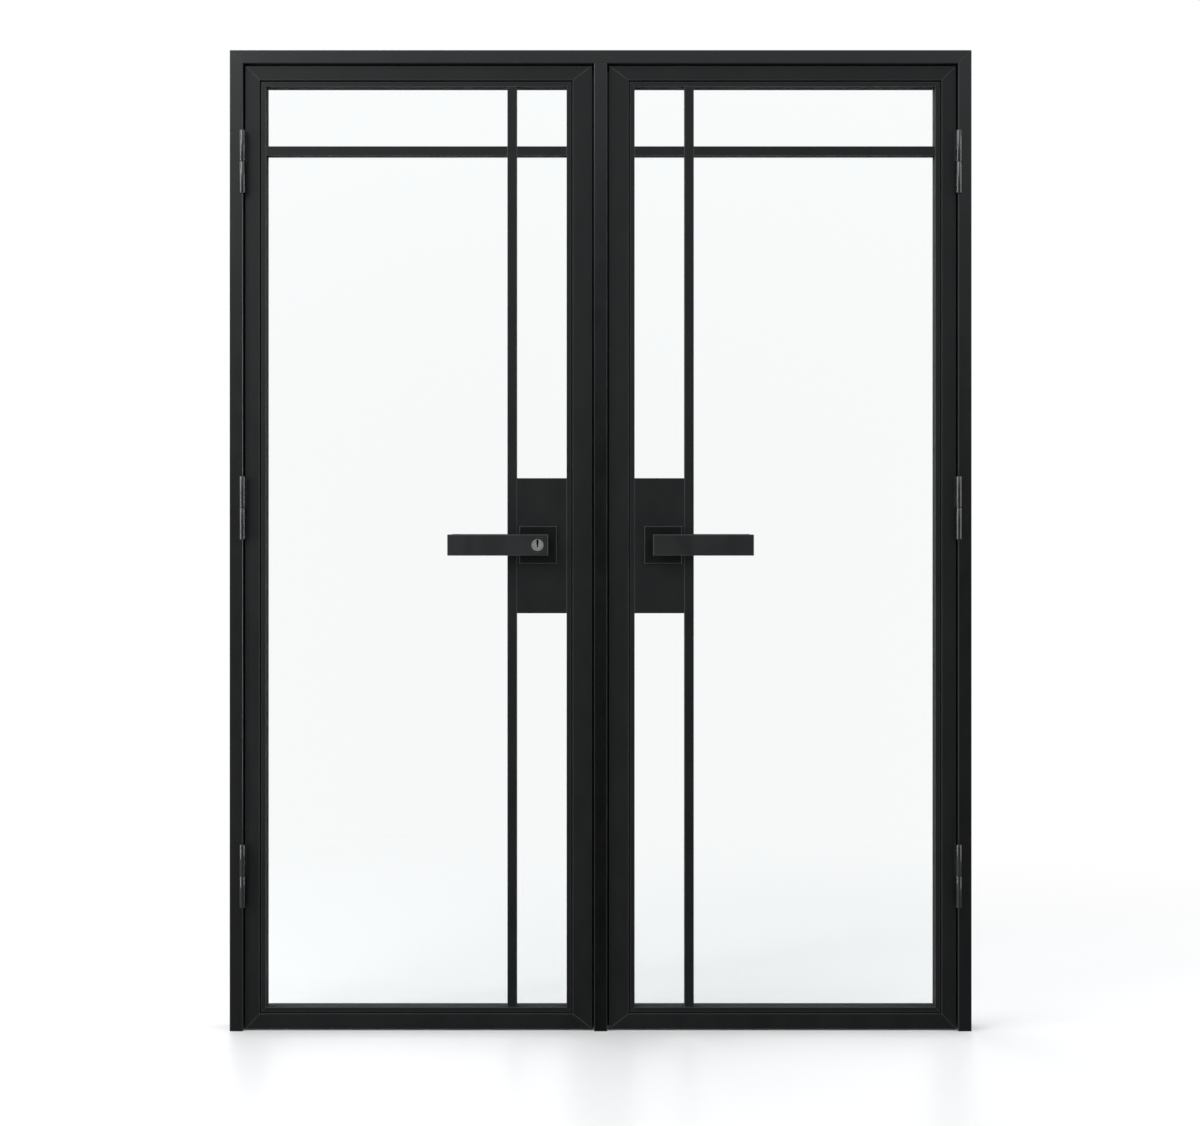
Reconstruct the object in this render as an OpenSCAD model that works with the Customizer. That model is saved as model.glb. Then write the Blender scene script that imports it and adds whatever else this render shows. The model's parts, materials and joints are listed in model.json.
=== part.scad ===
// Pair of glazed steel-look French doors in their frame.
// X runs across the doorway, the outside face looks along -Y, Z is up.
// The origin is under the middle of the centre mullion, on the floor.

/* [Overall] */
// Width over both jambs
frame_w = 1588; // [1300:4:2000]
// Height from the floor to the top of the head
frame_h = 2100; // [1750:10:2600]
// Depth of the frame from its outside face to its inside face
frame_depth = 80; // [76:2:110]

/* [Frame] */
// Visible width of each jamb, the head and the mullion
frame_face = 28; // [26:1:45]
// Wall of the frame tubes
frame_wall = 3; // [2.5:0.5:4]
// How far the door stops stand into each doorway
stop_reach = 15; // [12:1:22]
// Wall of the stop tubes
stop_wall = 2; // [1.5:0.5:3]
// Width of the rubber strip on each stop
seal_w = 9; // [6:1:11]

/* [Leaves] */
// Gap round the sides and top of each leaf
leaf_gap = 4; // [2.5:0.5:5]
// Gap between each leaf and the floor
floor_gap = 3; // [2:1:12]
// How far the leaves sit behind the outside face of the frame
leaf_recess = 10; // [8:1:14]
// Thickness of each leaf
leaf_t = 50; // [46:1:60]
// Face of the stile that carries the hinges
hinge_stile_face = 31; // [28:1:60]
// Face of the stile beside the mullion
meeting_stile_face = 42; // [34:1:70]
// Face of the top rail
top_rail_face = 31; // [28:1:80]
// Face of the bottom rail
bottom_rail_face = 33; // [28:1:200]
// Wall of the leaf tubes
leaf_wall = 3; // [2.5:0.5:4]

/* [Glazing] */
// Thickness of the glass
glass_t = 6; // [4:1:8]
// Depth from the leaf's face to the glass
glass_set = 28; // [24:1:30]
// Rubber on each side of the glass
gasket_t = 2; // [1.5:0.5:3]
// How far the glass edge sits behind what covers it
glass_bite = 7; // [5:1:8]
// Face of the glazing beads
bead_face = 10; // [9:1:20]
// Shadow groove between a bead and its stile or rail
bead_groove = 3; // [2:0.5:5]
// How far the beads and bars sit behind the leaf's face
bead_recess = 3; // [1:0.5:6]
// Wall of the beads and bars
bead_wall = 1.5; // [1.2:0.1:2]

/* [Glazing bars] */
// Width of the bars
bar_w = 20; // [18:1:32]
// How far each side of a bar's back flange is set in from its front
bar_step = 4; // [0:0.5:4.5]
// Clear width of the narrow panes beside the mullion
narrow_pane_w = 107; // [90:1:200]
// Clear height of the top row of panes
top_pane_h = 128; // [80:1:400]

/* [Hinges] */
// Height of the three hinge centres as shares of the leaf's own height
hinge_shares = [0.16, 0.541, 0.8995];
// Radius of the hinge knuckles
knuckle_r = 6; // [5.5:0.5:8]
// Length of each of a hinge's two knuckles
knuckle_l = 66; // [50:1:90]
// Radius of the hinge pins
pin_r = 3.5; // [3:0.5:4]
// Thickness of the hinge plates
plate_t = 2; // [1.5:0.25:2]
// Depth of the plates let into the jamb and the stile
plate_depth = 32; // [26:1:36]

/* [Lock] */
// Height of the lever spindles above the floor
handle_h = 1041; // [900:1:1150]
// Distance of the spindle from the meeting edge
backset = 116; // [100:1:140]
// Height of the solid lock panel
lock_panel_h = 290; // [240:2:400]
// How far the middle of the lock panel sits below the spindle
lock_drop = 2; // [0:1:20]
// Wall of the lock panel
lock_wall = 2; // [1.5:0.5:3]
// Side of the square roses
rose_size = 81; // [70:1:90]
// Thickness of the roses
rose_t = 7; // [5:1:10]
// Length of the levers
lever_l = 214; // [160:1:240]
// Height of the lever bars
lever_h = 45; // [38:1:50]
// Thickness of the lever bars
lever_t = 12; // [10:1:16]
// Clear space between a rose and its lever bar
lever_stand = 39; // [34:1:60]
// Radius of the lever necks
neck_r = 17; // [16.5:0.5:18]
// Side of the square spindles
spindle_side = 8; // [7:0.5:9]
// Distance that the bolts slide each way
bolt_travel = 11; // [8:1:12]
// Thickness and height of the bolts
bolt_t = 12; // [10:1:14]
bolt_h = 16; // [14:1:20]
// Radius of the key cylinder's face
cylinder_r = 13; // [12.5:0.5:13.5]

/* [Mounts] */
// Radius of the open holes for wall and floor fixings
fixing_r = 4.25; // [3:0.25:5]
// Half the spacing of the outer and inner pairs of jamb fixings
outer_fixing = 850; // [700:10:900]
inner_fixing = 300; // [250:10:400]
// Half the spacing of the head fixings
head_fixing = 450; // [300:10:600]
// Half the spacing of the floor fixings under the mullion
floor_fixing = 18; // [14:1:20]

/* [Hidden] */
$fn = 48;

paint = [0.17, 0.18, 0.18];
rubber = [0.05, 0.05, 0.05];
steel = [0.6, 0.6, 0.62];
clear_glass = [0.9, 0.94, 0.95, 0.35];

edge_r = 1.2;        // soft outside edges of the tubes
bead_edge_r = 0.8;   // soft outside edges of the beads and bars
corner_steps = 3;    // flats round each soft edge
seam = 0.3;          // hairline between mitred pieces
slack = 0.3;         // clearance between pieces that move past each other
screw_slack = 0.1;
over = 1;            // how far a cut runs past what it cuts
ends = 5;            // how far a profile runs past its mitres

// Depths, along Y
front_y = -frame_depth / 2;
back_y = frame_depth / 2;
leaf_y = front_y + leaf_recess;
leaf_back_y = leaf_y + leaf_t;
seal_space = 2;
seal_t = seal_space - slack;
stop_y = leaf_back_y + seal_space;
bead_y = leaf_y + bead_recess;
glass_y = leaf_y + glass_set;
slot_y = glass_y - gasket_t;
slot_back_y = glass_y + glass_t + gasket_t;
bar_back_y = leaf_back_y - bead_recess;
bolt_y = leaf_y + leaf_t / 2;

// Places across the right-hand doorway, along X, and up it, along Z
jamb_x = frame_w / 2 - frame_face;
head_z = frame_h - frame_face;
mullion_x = frame_face / 2;
meet_x = mullion_x + leaf_gap;
hinge_x = jamb_x - leaf_gap;
sill_z = floor_gap;
top_z = head_z - leaf_gap;
reveal = bead_groove + bead_face;

// The rectangle inside the stile and rail faces, and the one inside the beads
face_in = [meet_x + meeting_stile_face, hinge_x - hinge_stile_face];
face_up = [sill_z + bottom_rail_face, top_z - top_rail_face];
glass_in = [face_in[0] + reveal, face_in[1] - reveal];
glass_up = [face_up[0] + reveal, face_up[1] - reveal];

// The bars
bar_x = [glass_in[0] + narrow_pane_w, glass_in[0] + narrow_pane_w + bar_w];
bar_z = [glass_up[1] - top_pane_h - bar_w, glass_up[1] - top_pane_h];
bar_groove = glass_bite + 1;
lock_z = about(handle_h - lock_drop, lock_panel_h / 2);

// Each pane's clear opening: x from, x to, z from, z to
top_wide = [bar_x[1], glass_in[1], bar_z[1], glass_up[1]];
top_narrow = [glass_in[0], bar_x[0], bar_z[1], glass_up[1]];
main_pane = [bar_x[1], glass_in[1], glass_up[0], bar_z[0]];
upper_narrow = [glass_in[0], bar_x[0], lock_z[1], bar_z[0]];
lower_narrow = [glass_in[0], bar_x[0], glass_up[0], lock_z[0]];
PANES = [top_wide, top_narrow, main_pane, upper_narrow, lower_narrow];

// Hinges
leaf_height = top_z - sill_z;
hinge_heights = [for (share = hinge_shares) sill_z + share * leaf_height];
washer_t = 1.6;
hinge_l = 2 * knuckle_l + washer_t + slack;
axis_y = front_y - knuckle_r - 0.5;
pin_l = knuckle_l - 10;
pin_slack = 0.08;
hinge_screw_z = [0.22, 0.78];  // shares of a plate's height
hinge_screw_y = [front_y + 14, leaf_y + 18];
leaf_plate_end = leaf_y + plate_depth;

// Screws
screw_head_r = 3.8;
screw_r = 2;
screw_l = 14;
hex_r = 1.6;
hex_depth = 1.2;

// Lock
spindle_x = meet_x + backset;
rose_y = bead_y - rose_t;
rose_back_y = bar_back_y + rose_t;
lever_y = rose_y - lever_stand - lever_t;
lever_tip_y = rose_back_y + lever_stand + lever_t;
lever_heel = 22.5;  // from the spindle to the lever's square end
lever_edge_r = 1.5;
rose_edge = 2;
neck_in = 4;        // how far a neck enters its rose
case_t = 20;
case_wall = 2;
case_x = [glass_in[0] + 4, min(spindle_x + 38, bar_x[0] - lock_wall - slack)];
case_in = [case_x[0] + case_wall, case_x[1] - case_wall];
case_h = 92;
hub_r = 8.5;
crank_r = bolt_travel * 17 / 11;  // radius at which the cam's peg works
crank_peg_r = 2.5;
crank_t = 3;
tail_t = 4;
tail_low = spindle_side * 0.7072 + 2 * slack;  // clears the spindle as it turns
tail_high = crank_r + 6;
bolt_end_x = spindle_x - hub_r - bolt_travel - 2.5;
tail_x = [max(bolt_end_x - 18, case_in[0] + bolt_travel + slack),
    min(spindle_x + 12, case_in[1] - bolt_travel - slack)];
faceplate_t = 2;
faceplate_w = 24;
faceplate_h = 150;
strike_h = 100;
strike_hole = 1;    // clearance round a bolt in its strike
cylinder_l = 26;
cylinder_floor = 3;
keyway_end = 2;     // how far the keyway stops short of the plug's end
spindle_in = 6;     // how far a spindle runs past its rose into each lever
plug_r = cylinder_r - 1.5;
ring_r = cylinder_r + 2.8;
ring_depth = 1.5;

bracket_h = 50;
bracket_t = 4;
bracket_fold = 3;
bracket_l = 60;
bracket_screw_z = 30;

// ---------- helpers ----------

// Rounds the square corners of an outline. Each radius may be 0 for a sharp corner.
function soft(points, r) = [
    for (i = [0:len(points) - 1])
        let (
            p = points[i],
            before = points[(i + len(points) - 1) % len(points)] - p,
            after = points[(i + 1) % len(points)] - p,
            u = before / norm(before),
            v = after / norm(after),
            c = p + r[i] * (u + v)
        )
        each (r[i] == 0 ? [p] : [
            for (k = [0:corner_steps])
                let (t = 90 * k / corner_steps)
                c - r[i] * (v * cos(t) + u * sin(t))
        ])
];
function all_soft(points, r) = soft(points, [for (p = points) r]);
function about(middle, half) = [middle - half, middle + half];
function rect(a0, a1, b0, b1) = [[a0, b0], [a1, b0], [a1, b1], [a0, b1]];
function inset(q, d) = [q[0] + d, q[1] - d, q[2] + d, q[3] - d];
function outline(q) = rect(q[0], q[1], q[2], q[3]);

module block(x, y, z) {
    translate([x[0], y[0], z[0]]) cube([x[1] - x[0], y[1] - y[0], z[1] - z[0]]);
}
module along_x(points, x) {
    translate([x[0], 0, 0]) rotate([90, 0, 90]) linear_extrude(x[1] - x[0]) polygon(points);
}
module along_y(points, y) {
    translate([0, y[1], 0]) rotate([90, 0, 0]) linear_extrude(y[1] - y[0]) polygon(points);
}
module along_z(points, z) {
    translate([0, 0, z[0]]) linear_extrude(z[1] - z[0]) polygon(points);
}
module rod_x(at, r, x) {
    translate([x[0], at[0], at[1]]) rotate([0, 90, 0]) cylinder(h = x[1] - x[0], r = r);
}
module rod_y(at, r, y) {
    translate([at[0], y[0], at[1]]) rotate([-90, 0, 0]) cylinder(h = y[1] - y[0], r = r);
}
module rod_z(at, r, z) {
    translate([at[0], at[1], z[0]]) cylinder(h = z[1] - z[0], r = r);
}
// Everything below is drawn for the right-hand doorway and mirrored for the left
module handed(side) {
    if (side == "left") mirror([1, 0, 0]) children();
    else children();
}

// A countersunk screw that is driven along +X from its own origin
module screw(grow = 0, socket = true) {
    difference() {
        union() {
            rotate([0, 90, 0]) cylinder(h = plate_t, r1 = screw_head_r + grow, r2 = screw_r + grow);
            rod_x([0, 0], screw_r + grow, [0, screw_l + grow]);
        }
        if (socket) rotate([0, 90, 0]) translate([0, 0, -over])
            cylinder(h = hex_depth + over, r = hex_r, $fn = 6);
    }
}
module drive(at, direction, grow = 0, socket = true) {
    translate(at) rotate([0, 0, direction > 0 ? 0 : 180]) screw(grow, socket);
}

// ---------- frame ----------

module jamb_fixings() {
    for (dz = [outer_fixing, inner_fixing]) for (s = [-1, 1])
        rod_x([5, frame_h / 2 + s * dz], fixing_r, [jamb_x - over, frame_w / 2 + over]);
}

module frame_hinge_screws(grow = 0, socket = true) {
    for (z = hinge_heights) for (share = hinge_screw_z)
        drive([jamb_x, hinge_screw_y[0], z - hinge_l / 2 + share * knuckle_l], 1, grow, socket);
}

module jamb(side) {
    color(paint) handed(side) difference() {
        intersection() {
            along_z(all_soft(rect(jamb_x, frame_w / 2, front_y, back_y), edge_r), [0, frame_h + over]);
            along_y([[jamb_x, 0], [frame_w / 2, 0], [frame_w / 2, frame_h], [jamb_x, head_z]],
                [front_y - over, back_y + over]);
        }
        along_z(rect(jamb_x + frame_wall, frame_w / 2 - frame_wall,
            front_y + frame_wall, back_y - frame_wall), [-over, frame_h + over]);
        jamb_fixings();
        for (z = hinge_heights)
            block([jamb_x - over, jamb_x + plate_t], [front_y - over, front_y + plate_depth],
                [z - hinge_l / 2, z - hinge_l / 2 + knuckle_l]);
        frame_hinge_screws(screw_slack, false);
    }
}

module head() {
    shift = seam * 1.4;
    color(paint) difference() {
        intersection() {
            along_x(all_soft(rect(front_y, back_y, head_z, frame_h), edge_r), [-frame_w / 2, frame_w / 2]);
            along_y([[-jamb_x + shift, head_z], [jamb_x - shift, head_z],
                [frame_w / 2 - shift, frame_h], [-frame_w / 2 + shift, frame_h]],
                [front_y - over, back_y + over]);
        }
        along_x(rect(front_y + frame_wall, back_y - frame_wall, head_z + frame_wall, frame_h - frame_wall),
            [-frame_w / 2 - over, frame_w / 2 + over]);
        for (s = [-1, 1]) rod_z([s * head_fixing, 0], fixing_r, [head_z - over, frame_h + over]);
    }
}

module strike_screws(grow = 0, socket = true) {
    for (s = [-1, 1]) drive([mullion_x, bolt_y, handle_h + s * (strike_h / 2 - 10)], -1, grow, socket);
}
module bracket_screw(grow = 0, socket = true) {
    drive([mullion_x, 0, bracket_screw_z], -1, grow, socket);
}

module centre_mullion() {
    color(paint) difference() {
        along_z(all_soft(rect(-mullion_x, mullion_x, front_y, back_y), edge_r), [0, head_z]);
        along_z(rect(-mullion_x + frame_wall, mullion_x - frame_wall,
            front_y + frame_wall, back_y - frame_wall), [-over, head_z + over]);
        for (side = ["left", "right"]) handed(side) {
            block([mullion_x - plate_t, mullion_x + over], about(bolt_y, faceplate_w / 2),
                about(handle_h, strike_h / 2));
            block([mullion_x - frame_wall - over, mullion_x],
                about(bolt_y, bolt_t / 2 + strike_hole),
                about(handle_h, bolt_h / 2 + strike_hole));
            strike_screws(screw_slack, false);
            bracket_screw(screw_slack, false);
        }
    }
}

module stop_tube(points_out, points_in, z) {
    difference() {
        along_z(points_out, z);
        along_z(points_in, [z[0] - over, z[1] + over]);
    }
}
module door_stops() {
    y = [stop_y, back_y];
    inner_y = [stop_y + stop_wall, back_y - stop_wall];
    color(paint) for (side = ["left", "right"]) handed(side) {
        for (x = [[mullion_x, mullion_x + stop_reach], [jamb_x - stop_reach, jamb_x]])
            stop_tube(all_soft(rect(x[0], x[1], y[0], y[1]), bead_edge_r),
                rect(x[0] + stop_wall, x[1] - stop_wall, inner_y[0], inner_y[1]), [0, head_z]);
        difference() {
            along_x(all_soft(rect(y[0], y[1], head_z - stop_reach, head_z), bead_edge_r),
                [mullion_x + stop_reach + seam, jamb_x - stop_reach - seam]);
            along_x(rect(inner_y[0], inner_y[1], head_z - stop_reach + stop_wall, head_z - stop_wall),
                [mullion_x, jamb_x]);
        }
    }
}

module stop_seals() {
    inset_by = (stop_reach - seal_w) / 2;
    y = [stop_y - seal_t, stop_y];
    color(rubber) for (side = ["left", "right"]) handed(side) {
        for (x = [mullion_x + inset_by, jamb_x - stop_reach + inset_by])
            block([x, x + seal_w], y, [floor_gap, head_z - over]);
        block([mullion_x + stop_reach, jamb_x - stop_reach], y,
            [head_z - stop_reach + inset_by, head_z - stop_reach + inset_by + seal_w]);
    }
}

module mullion_floor_bracket() {
    x = mullion_x - frame_wall - slack;
    color(steel) difference() {
        block([-x, x], [-bracket_l / 2, bracket_l / 2], [0, bracket_h]);
        block([-x + bracket_fold, x - bracket_fold], [-bracket_l, bracket_l], [bracket_t, bracket_h + over]);
        for (s = [-1, 1]) rod_z([0, s * floor_fixing], fixing_r, [-over, bracket_t + over]);
        for (side = ["left", "right"]) handed(side) bracket_screw(screw_slack, false);
    }
}

module strike_plates() {
    color(steel) for (side = ["left", "right"]) handed(side) difference() {
        block([mullion_x - plate_t, mullion_x], about(bolt_y, faceplate_w / 2),
            about(handle_h, strike_h / 2));
        block([mullion_x - frame_wall, mullion_x + over],
            about(bolt_y, bolt_t / 2 + strike_hole),
            about(handle_h, bolt_h / 2 + strike_hole));
        strike_screws(screw_slack, false);
    }
}

module frame_screws() {
    color(steel) for (side = ["left", "right"]) handed(side) {
        frame_hinge_screws();
        strike_screws();
        bracket_screw();
    }
}

// ---------- hinges ----------

module hinge_frame_halves(side) {
    color(paint) handed(side) for (z = hinge_heights) {
        low = z - hinge_l / 2;
        difference() {
            union() {
                rod_z([jamb_x, axis_y], knuckle_r, [low, low + knuckle_l]);
                rod_z([jamb_x, axis_y], pin_r, [low, low + knuckle_l + pin_l]);
                block([jamb_x, jamb_x + plate_t], [axis_y, front_y + plate_depth], [low, low + knuckle_l]);
            }
            frame_hinge_screws(screw_slack, false);
        }
    }
}

module hinge_washers() {
    color(steel) for (side = ["left", "right"]) handed(side) for (z = hinge_heights)
        difference() {
            rod_z([jamb_x, axis_y], knuckle_r,
                [z - hinge_l / 2 + knuckle_l, z - hinge_l / 2 + knuckle_l + washer_t]);
            rod_z([jamb_x, axis_y], pin_r + pin_slack, about(z, hinge_l / 2));
        }
}

module leaf_hinge_screws(grow = 0, socket = true) {
    for (z = hinge_heights) for (share = hinge_screw_z)
        drive([hinge_x, hinge_screw_y[1], z + hinge_l / 2 - share * knuckle_l], -1, grow, socket);
}

module hinge_leaf_halves(side) {
    color(paint) handed(side) for (z = hinge_heights) {
        high = z + hinge_l / 2;
        difference() {
            union() {
                rod_z([jamb_x, axis_y], knuckle_r, [high - knuckle_l, high]);
                block([hinge_x - plate_t, hinge_x], [axis_y, leaf_plate_end], [high - knuckle_l, high]);
            }
            rod_z([jamb_x, axis_y], pin_r + pin_slack, [high - knuckle_l - over, high - knuckle_l + pin_l]);
            leaf_hinge_screws(screw_slack, false);
        }
    }
}

// ---------- leaf tubes ----------

// A stile or rail in section: u runs in from its outside edge, w back from its face.
// The leg behind the glass makes it an L.
function leaf_section(face, r) = soft(
    [[0, 0], [face, 0], [face, slot_back_y - leaf_y], [face + reveal, slot_back_y - leaf_y],
        [face + reveal, leaf_t], [0, leaf_t]],
    [r, r, 0, bead_edge_r, r, r]);
function leaf_hollow(face) =
    let (w = leaf_wall, leg = slot_back_y - leaf_y + leaf_wall, far = face + reveal - leaf_wall)
    [[w, w], [face - w, w], [face - w, leg], [far, leg], [far, leaf_t - w], [w, leaf_t - w]];
function placed(points, edge, direction) =
    [for (p = points) [edge + direction * p[0], leaf_y + p[1]]];
function turned(points) = [for (p = points) [p[1], p[0]]];

module stile(face, edge, direction) {
    z = [sill_z - ends, top_z + ends];
    difference() {
        along_z(placed(leaf_section(face, edge_r), edge, direction), z);
        along_z(placed(leaf_hollow(face), edge, direction), [z[0] - over, z[1] + over]);
    }
}
module rail(face, edge, direction) {
    x = [meet_x - ends, hinge_x + ends];
    difference() {
        along_x(turned(placed(leaf_section(face, edge_r), edge, direction)), x);
        along_x(turned(placed(leaf_hollow(face), edge, direction)), [x[0] - over, x[1] + over]);
    }
}
// Keeps the part of a tube between its two mitres
module mitred(points) {
    intersection() {
        children();
        along_y(points, [leaf_y - over, leaf_back_y + over]);
    }
}

module hinge_stile(side) {
    color(paint) handed(side) difference() {
        mitred([[hinge_x, sill_z], [hinge_x, top_z], [face_in[1], face_up[1]], [glass_in[1], glass_up[1]],
            [glass_in[1], glass_up[0]], [face_in[1], face_up[0]]])
            stile(hinge_stile_face, hinge_x, -1);
        for (z = hinge_heights)
            block([hinge_x - plate_t, hinge_x + over], [leaf_y - over, leaf_plate_end],
                [z + hinge_l / 2 - knuckle_l, z + hinge_l / 2]);
        leaf_hinge_screws(screw_slack, false);
    }
}

module bolt_way(x) {
    block(x, about(bolt_y, bolt_t / 2 + slack),
        about(handle_h, bolt_h / 2 + slack));
}
module faceplate_screws(grow = 0, socket = true) {
    for (s = [-1, 1]) drive([meet_x, bolt_y, handle_h + s * (faceplate_h / 2 - 12)], 1, grow, socket);
}

module meeting_stile(side) {
    color(paint) handed(side) difference() {
        mitred([[meet_x, sill_z], [face_in[0], face_up[0]], [glass_in[0], glass_up[0]],
            [glass_in[0], glass_up[1]], [face_in[0], face_up[1]], [meet_x, top_z]])
            stile(meeting_stile_face, meet_x, 1);
        // leading edge, eased so that the leaf swings clear of the mullion
        along_z([[meet_x - over, leaf_back_y - leaf_t / 2], [meet_x, leaf_back_y - leaf_t / 2],
            [meet_x + seam * 5, leaf_back_y + over], [meet_x - over, leaf_back_y + over]],
            [sill_z - ends, top_z + ends]);
        block([meet_x - over, meet_x + faceplate_t], about(bolt_y, faceplate_w / 2),
            about(handle_h, faceplate_h / 2));
        bolt_way([meet_x - over, glass_in[0] + over]);
        faceplate_screws(screw_slack, false);
    }
}

module top_rail(side) {
    g = seam * 1.4;
    color(paint) handed(side)
        mitred([[meet_x + g, top_z], [face_in[0] + g, face_up[1]], [glass_in[0] + g, glass_up[1]],
            [glass_in[1] - g, glass_up[1]], [face_in[1] - g, face_up[1]], [hinge_x - g, top_z]])
            rail(top_rail_face, top_z, -1);
}

module bottom_rail(side) {
    g = seam * 1.4;
    color(paint) handed(side)
        mitred([[meet_x + g, sill_z], [hinge_x - g, sill_z], [face_in[1] - g, face_up[0]],
            [glass_in[1] - g, glass_up[0]], [glass_in[0] + g, glass_up[0]], [face_in[0] + g, face_up[0]]])
            rail(bottom_rail_face, sill_z, 1);
}

// ---------- beads and bars ----------

// A bead in section: its foot reaches the tube behind the shadow groove
bead_foot = bead_groove + bead_recess + 5;
function bead_section() =
    let (d = slot_y - leaf_y, r = bead_edge_r)
    soft([[bead_groove, bead_recess], [reveal, bead_recess], [reveal, d], [0, d],
        [0, bead_foot], [bead_groove, bead_foot]], [r, r, r, 0, 0, 0]);
function bead_hollow() =
    let (w = bead_wall, d = slot_y - leaf_y - bead_wall)
    [[bead_groove + w, bead_recess + w], [reveal - w, bead_recess + w], [reveal - w, d], [w, d],
        [w, bead_foot + w], [bead_groove + w, bead_foot + w]];

module upright_bead(edge, direction) {
    difference() {
        along_z(placed(bead_section(), edge, direction), face_up);
        along_z(placed(bead_hollow(), edge, direction), [face_up[0] - over, face_up[1] + over]);
    }
}
module level_bead(edge, direction) {
    difference() {
        along_x(turned(placed(bead_section(), edge, direction)), face_in);
        along_x(turned(placed(bead_hollow(), edge, direction)), [face_in[0] - over, face_in[1] + over]);
    }
}
module glazing_beads(side) {
    g = seam * 1.4;
    x = face_in;
    z = face_up;
    color(paint) handed(side) {
        difference() {
            mitred([[x[0], z[0]], [glass_in[0], glass_up[0]], [glass_in[0], glass_up[1]], [x[0], z[1]]])
                upright_bead(x[0], 1);
            bolt_way([x[0] - over, glass_in[0] + over]);
        }
        mitred([[x[1], z[0]], [x[1], z[1]], [glass_in[1], glass_up[1]], [glass_in[1], glass_up[0]]])
            upright_bead(x[1], -1);
        mitred([[x[0] + g, z[1]], [glass_in[0] + g, glass_up[1]],
            [glass_in[1] - g, glass_up[1]], [x[1] - g, z[1]]])
            level_bead(z[1], -1);
        mitred([[x[0] + g, z[0]], [x[1] - g, z[0]],
            [glass_in[1] - g, glass_up[0]], [glass_in[0] + g, glass_up[0]]])
            level_bead(z[0], 1);
    }
}

// A bar in section, with a groove for the glass on each side of its web
function bar_section(c) =
    let (h = bar_w / 2, back = h - bar_step, web = h - bar_groove, r = bead_edge_r,
        a = bead_y, b = slot_y, d = slot_back_y, e = bar_back_y)
    soft([[c - h, a], [c + h, a], [c + h, b], [c + web, b], [c + web, d], [c + back, d],
        [c + back, e], [c - back, e], [c - back, d], [c - web, d], [c - web, b], [c - h, b]],
        [r, r, 0, 0, 0, 0, r, r, 0, 0, 0, 0]);
// The hollows in the front and back flanges: their places across the bar and through it
bar_cores = [[bar_w / 2, bead_y, slot_y], [bar_w / 2 - bar_step, slot_back_y, bar_back_y]];
function bar_core(c, core) =
    let (h = core[0] - bead_wall) rect(c - h, c + h, core[1] + bead_wall, core[2] - bead_wall);

module vertical_bar(side) {
    c = (bar_x[0] + bar_x[1]) / 2;
    color(paint) handed(side) difference() {
        along_z(bar_section(c), glass_up);
        for (core = bar_cores)
            along_z(bar_core(c, core), [glass_up[0] - over, glass_up[1] + over]);
    }
}
module horizontal_bars(side) {
    c = (bar_z[0] + bar_z[1]) / 2;
    color(paint) handed(side) for (x = [[glass_in[0], bar_x[0]], [bar_x[1], glass_in[1]]])
        difference() {
            along_x(turned(bar_section(c)), x);
            for (core = bar_cores)
                along_x(turned(bar_core(c, core)), [x[0] - over, x[1] + over]);
        }
}

// ---------- glass ----------

module pane(side, opening) {
    color(clear_glass) handed(side)
        along_y(outline(inset(opening, -glass_bite)), [glass_y, glass_y + glass_t]);
}
module glazing_gaskets(side) {
    color(rubber) handed(side) for (opening = PANES)
        difference() {
            along_y(outline(inset(opening, -bar_groove + screw_slack)), [slot_y, slot_back_y]);
            along_y(outline(opening), [slot_y - over, slot_back_y + over]);
            along_y(outline(inset(opening, -glass_bite)), [glass_y, glass_y + glass_t]);
        }
}

// ---------- lock ----------

module lock_panel(side) {
    x = [glass_in[0], bar_x[0]];
    z = lock_z;
    ledge = bar_groove + lock_wall;
    color(paint) handed(side) difference() {
        union() {
            along_x(all_soft(rect(bead_y, bar_back_y, z[0], z[1]), edge_r), x);
            block([x[0] - glass_bite, x[1] + glass_bite], [slot_y, slot_back_y],
                [z[0] + ledge, z[1] - ledge]);
        }
        block([x[0] + lock_wall, x[1] - lock_wall], [bead_y + lock_wall, bar_back_y - lock_wall],
            [z[0] + ledge, z[1] - ledge]);
        for (edge = [[z[0] - over, z[0] + bar_groove], [z[1] - bar_groove, z[1] + over]])
            block([x[0] - over, x[1] + over], [slot_y, slot_back_y], edge);
        bolt_way([x[0] - glass_bite - over, x[0] + lock_wall + over]);
        rod_y([spindle_x, handle_h], hub_r, [bead_y - over, bar_back_y + over]);
    }
}

module lock_case(side) {
    y = about(bolt_y, case_t / 2);
    z = about(handle_h, case_h / 2);
    color(steel) handed(side) difference() {
        block(case_x, y, z);
        block(case_in, [y[0] + case_wall, y[1] - case_wall], [z[0] + case_wall, z[1] - case_wall]);
        bolt_way([case_x[0] - over, case_x[0] + case_wall + over]);
        rod_y([spindle_x, handle_h], hub_r, [y[0] - over, y[1] + over]);
    }
}

module faceplate(side) {
    color(steel) handed(side) difference() {
        block([meet_x, meet_x + faceplate_t], about(bolt_y, faceplate_w / 2),
            about(handle_h, faceplate_h / 2));
        bolt_way([meet_x - over, meet_x + faceplate_t + over]);
        faceplate_screws(screw_slack, false);
    }
}

module leaf_screws(side) {
    color(steel) handed(side) {
        leaf_hinge_screws();
        faceplate_screws();
    }
}

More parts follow.
